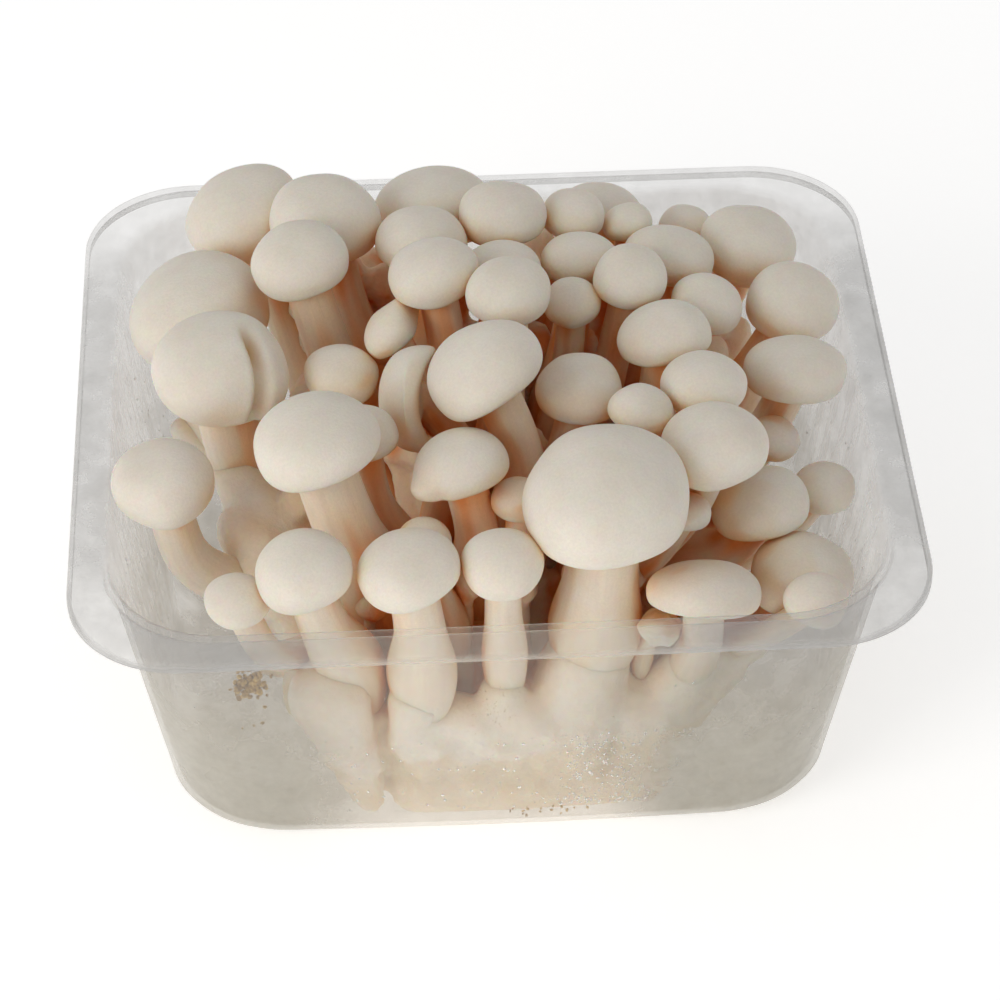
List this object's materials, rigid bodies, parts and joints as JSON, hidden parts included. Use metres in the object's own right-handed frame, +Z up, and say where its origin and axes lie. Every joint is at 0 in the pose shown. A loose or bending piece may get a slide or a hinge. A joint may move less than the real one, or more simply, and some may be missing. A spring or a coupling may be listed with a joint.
{
  "type": "white shimeji mushroom bunch",
  "caption": "Clump of white shimeji mushrooms with round creamy caps on curved stems, grown together on one base and standing in an open clear plastic tray.",
  "frame": {"origin": "middle of the tray's underside", "axes": "+X along the tray's long side, +Y from the front wall to the back wall, +Z up out of the tray"},
  "size_m": [0.15, 0.14, 0.0845],
  "materials": {
    "clear_tray": "clear thermoformed sheet with a fine mist of condensation",
    "base_flesh": "dry cut fungus flesh, cream to straw yellow",
    "mushroom_flesh": "creamy white fungus skin, matte to faintly satin"
  },
  "bodies": {
    "root": {"tray": "clear_tray", "base_clump": "base_flesh", "front_mushroom_1": "mushroom_flesh", "front_mushroom_2": "mushroom_flesh", "front_mushroom_3": "mushroom_flesh", "front_mushroom_4": "mushroom_flesh", "biggest_mushroom": "mushroom_flesh", "torn_mushroom": "mushroom_flesh", "open_mushroom": "mushroom_flesh", "corner_mushroom": "mushroom_flesh", "second_row_1": "mushroom_flesh", "second_row_2": "mushroom_flesh", "second_row_3": "mushroom_flesh", "second_row_4": "mushroom_flesh", "second_row_5": "mushroom_flesh", "second_row_6": "mushroom_flesh", "second_row_7": "mushroom_flesh", "second_row_8": "mushroom_flesh", "second_row_9": "mushroom_flesh", "middle_mushroom_1": "mushroom_flesh", "middle_mushroom_2": "mushroom_flesh", "middle_mushroom_3": "mushroom_flesh", "tipped_mushroom": "mushroom_flesh", "side_on_mushroom": "mushroom_flesh", "leaf_mushroom": "mushroom_flesh", "middle_mushroom_4": "mushroom_flesh", "middle_mushroom_5": "mushroom_flesh", "middle_mushroom_6": "mushroom_flesh", "middle_mushroom_7": "mushroom_flesh", "middle_mushroom_8": "mushroom_flesh", "middle_mushroom_9": "mushroom_flesh", "middle_mushroom_10": "mushroom_flesh", "middle_mushroom_11": "mushroom_flesh", "middle_mushroom_12": "mushroom_flesh", "middle_mushroom_13": "mushroom_flesh", "middle_mushroom_14": "mushroom_flesh", "middle_mushroom_15": "mushroom_flesh", "split_mushroom": "mushroom_flesh", "left_mushroom_1": "mushroom_flesh", "left_mushroom_2": "mushroom_flesh", "back_mushroom_1": "mushroom_flesh", "back_mushroom_2": "mushroom_flesh", "back_mushroom_3": "mushroom_flesh", "back_mushroom_4": "mushroom_flesh", "back_mushroom_5": "mushroom_flesh", "back_mushroom_6": "mushroom_flesh", "back_mushroom_7": "mushroom_flesh", "back_mushroom_8": "mushroom_flesh", "back_mushroom_9": "mushroom_flesh", "back_mushroom_10": "mushroom_flesh", "back_mushroom_11": "mushroom_flesh", "back_mushroom_12": "mushroom_flesh", "back_mushroom_13": "mushroom_flesh", "back_mushroom_14": "mushroom_flesh"}
  },
  "joints": []
}
